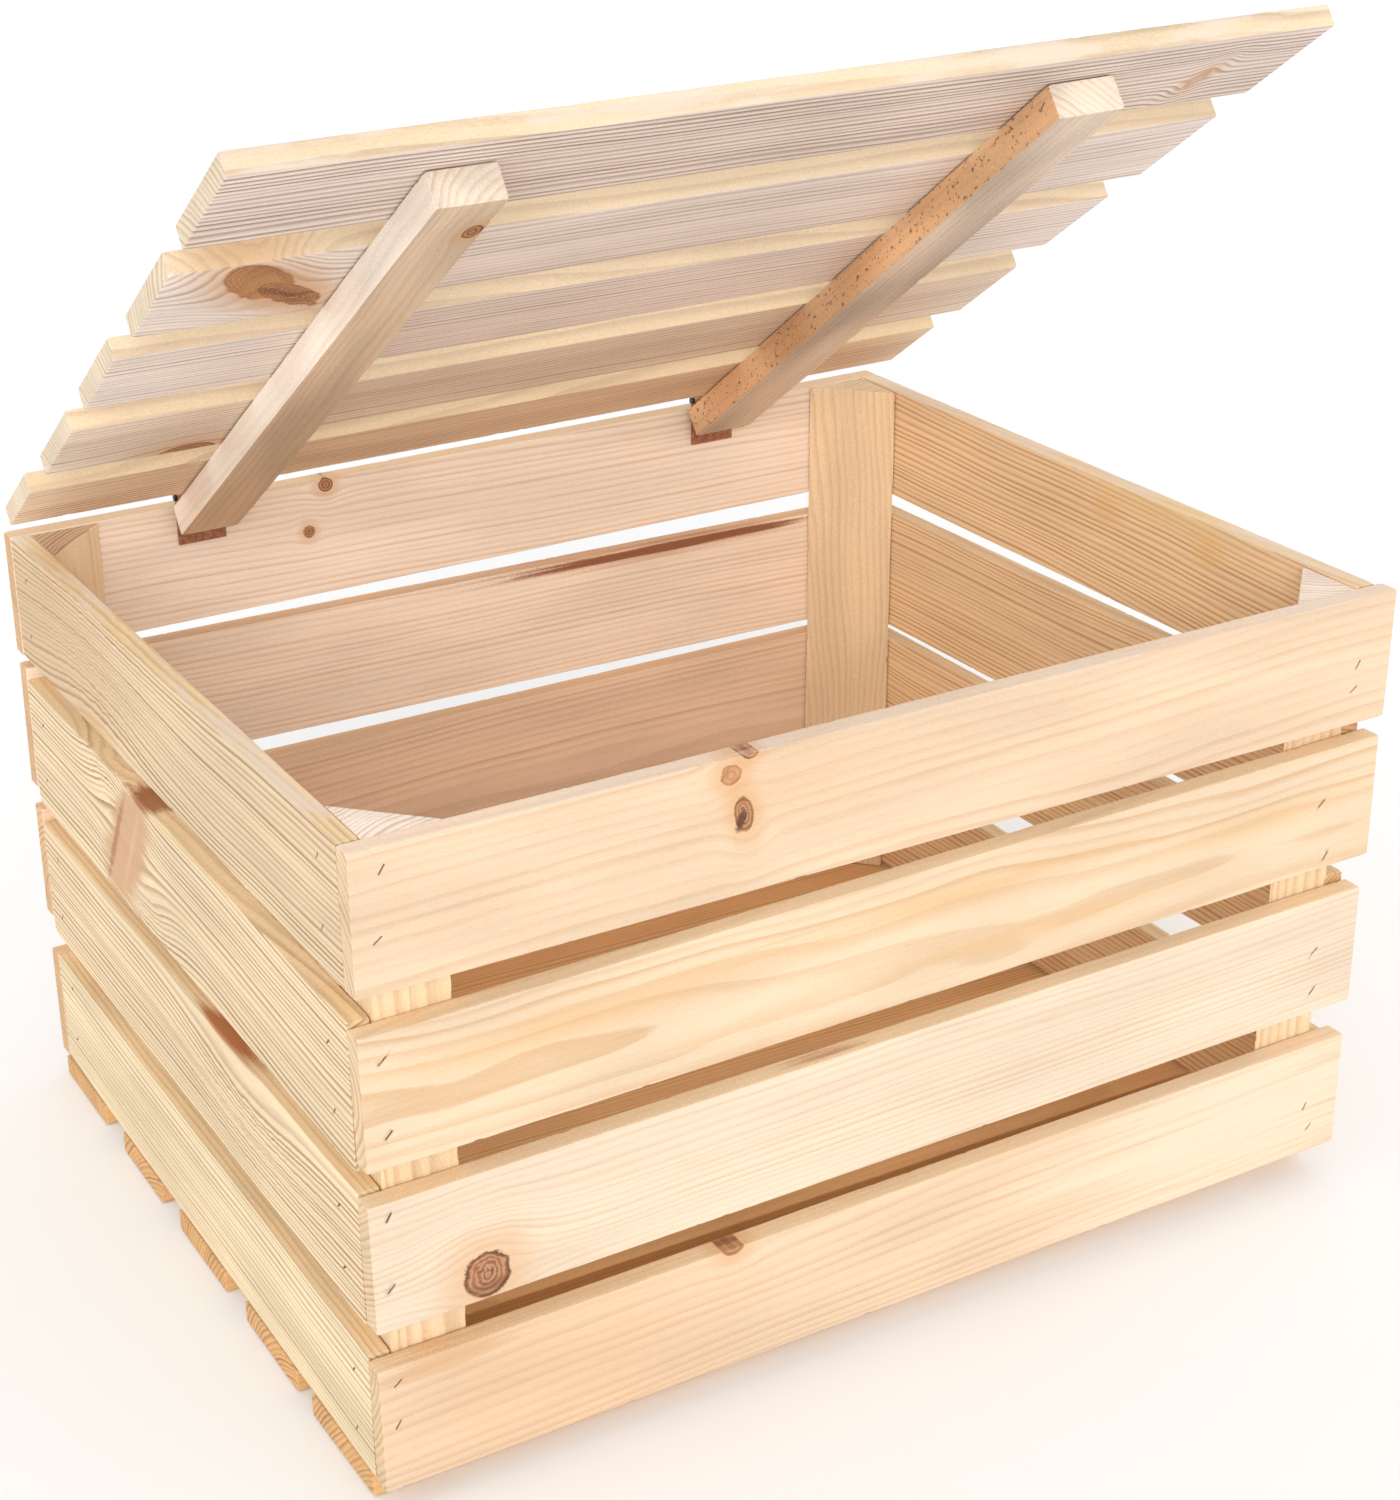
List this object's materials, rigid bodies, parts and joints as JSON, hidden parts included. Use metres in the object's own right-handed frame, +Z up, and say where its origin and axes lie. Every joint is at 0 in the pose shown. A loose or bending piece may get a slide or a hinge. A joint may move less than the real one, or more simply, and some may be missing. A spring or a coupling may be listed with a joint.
{
  "type": "slatted shipping crate",
  "caption": "Open slatted pine box with triangular corner posts, a slatted floor and a hinged slatted lid on two battens.",
  "frame": {"origin": "centre of the crate's rectangular footprint, on the underside of the floor boards", "axes": "+X along the front, from its left end to its right end as seen from the front; +Y from the front to the rear, where the hinges are; +Z up"},
  "size_m": [0.5081, 0.405, 0.5425],
  "materials": {
    "pine_front": "bare planed and sawn pine, pale cream, matt",
    "pine_side": "bare sawn pine, straw yellow with strong grain, matt",
    "pine_rear": "bare sawn pine, peach to tan, matt",
    "pine_post": "bare sawn pine, light tan, matt",
    "pine_floor": "bare sawn pine, golden, matt",
    "pine_lid": "bare sawn pine, greyish pink beige, matt",
    "pine_batten": "bare sawn pine, cream to orange brown, matt",
    "bronzed_steel": "thin pressed steel with a brown bronzed finish, satin",
    "dark_steel": "dark blued steel, satin"
  },
  "bodies": {
    "crate": {"front_slat_1": "pine_front", "front_slat_2": "pine_front", "front_slat_3": "pine_front", "front_slat_4": "pine_front", "rear_slat_1": "pine_rear", "rear_slat_2": "pine_rear", "rear_slat_3": "pine_rear", "rear_slat_4": "pine_rear", "left_slat_1": "pine_side", "left_slat_2": "pine_side", "left_slat_3": "pine_side", "left_slat_4": "pine_side", "right_slat_1": "pine_side", "right_slat_2": "pine_side", "right_slat_3": "pine_side", "right_slat_4": "pine_side", "corner_post_front_left": "pine_post", "corner_post_front_right": "pine_post", "corner_post_rear_left": "pine_post", "corner_post_rear_right": "pine_post", "floor_board_1": "pine_floor", "floor_board_2": "pine_floor", "floor_board_3": "pine_floor", "floor_board_4": "pine_floor", "floor_board_5": "pine_floor", "hinge_crate_leaf_left": "bronzed_steel", "hinge_crate_leaf_right": "bronzed_steel", "hinge_pin_left": "dark_steel", "hinge_pin_right": "dark_steel", "screw_crate_left_1": "dark_steel", "screw_crate_left_2": "dark_steel", "screw_crate_right_1": "dark_steel", "screw_crate_right_2": "dark_steel"},
    "lid": {"lid_slat_1": "pine_lid", "lid_slat_2": "pine_lid", "lid_slat_3": "pine_lid", "lid_slat_4": "pine_lid", "lid_slat_5": "pine_lid", "lid_batten_left": "pine_batten", "lid_batten_right": "pine_batten", "hinge_lid_leaf_left": "dark_steel", "hinge_lid_leaf_right": "dark_steel", "screw_lid_left_1": "dark_steel", "screw_lid_left_2": "dark_steel", "screw_lid_right_1": "dark_steel", "screw_lid_right_2": "dark_steel"}
  },
  "joints": [
    {"name": "lid_hinge", "type": "hinge", "parent": "crate", "child": "lid", "pos_m": [0, 0.19065, 0.306], "axis": [-1, 0, 0], "range_deg": [-35.4, 139.6]}
  ]
}
